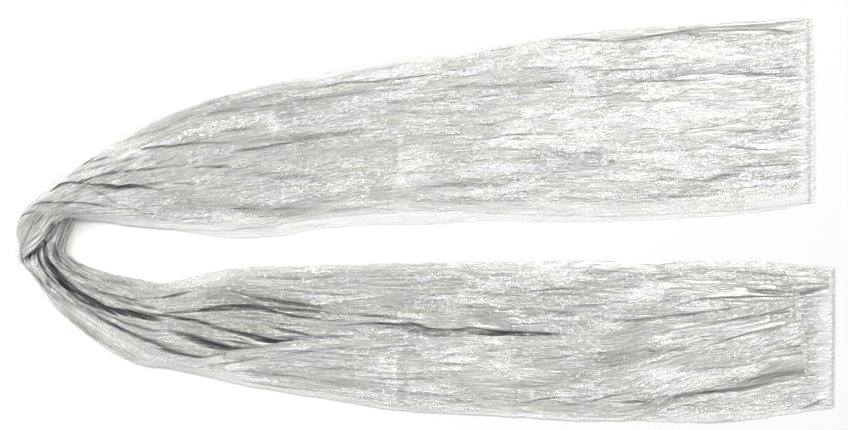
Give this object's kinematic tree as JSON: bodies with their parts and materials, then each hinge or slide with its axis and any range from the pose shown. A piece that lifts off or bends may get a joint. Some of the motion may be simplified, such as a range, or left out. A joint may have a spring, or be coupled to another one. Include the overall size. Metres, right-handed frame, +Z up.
{
  "type": "scarf",
  "caption": "Long crinkled metallic scarf, laid double along its length and set down in a horseshoe, with rolled hems at its two ends.",
  "frame": {"origin": "bottom centre of the laid scarf's bounding box, on the surface it lies on", "axes": "+Z up from that surface; the bend of the horseshoe is at -X and its two arms run to +X, the wide arm at +Y"},
  "size_m": [0.8755, 0.4327, 0.02],
  "materials": {
    "silver_tissue": "crinkled silver tissue, soft metallic sheen",
    "silver_hem": "the same cloth, turned and overlocked"
  },
  "bodies": {
    "root": {"upper_panel": "silver_tissue", "upper_under": "silver_tissue", "bend_edge": "silver_tissue", "bend_heap": "silver_tissue", "lower_panel": "silver_tissue", "lower_flap": "silver_tissue", "upper_panel_hem": "silver_hem", "upper_under_hem": "silver_hem", "lower_panel_hem": "silver_hem", "lower_flap_hem": "silver_hem"}
  },
  "joints": []
}
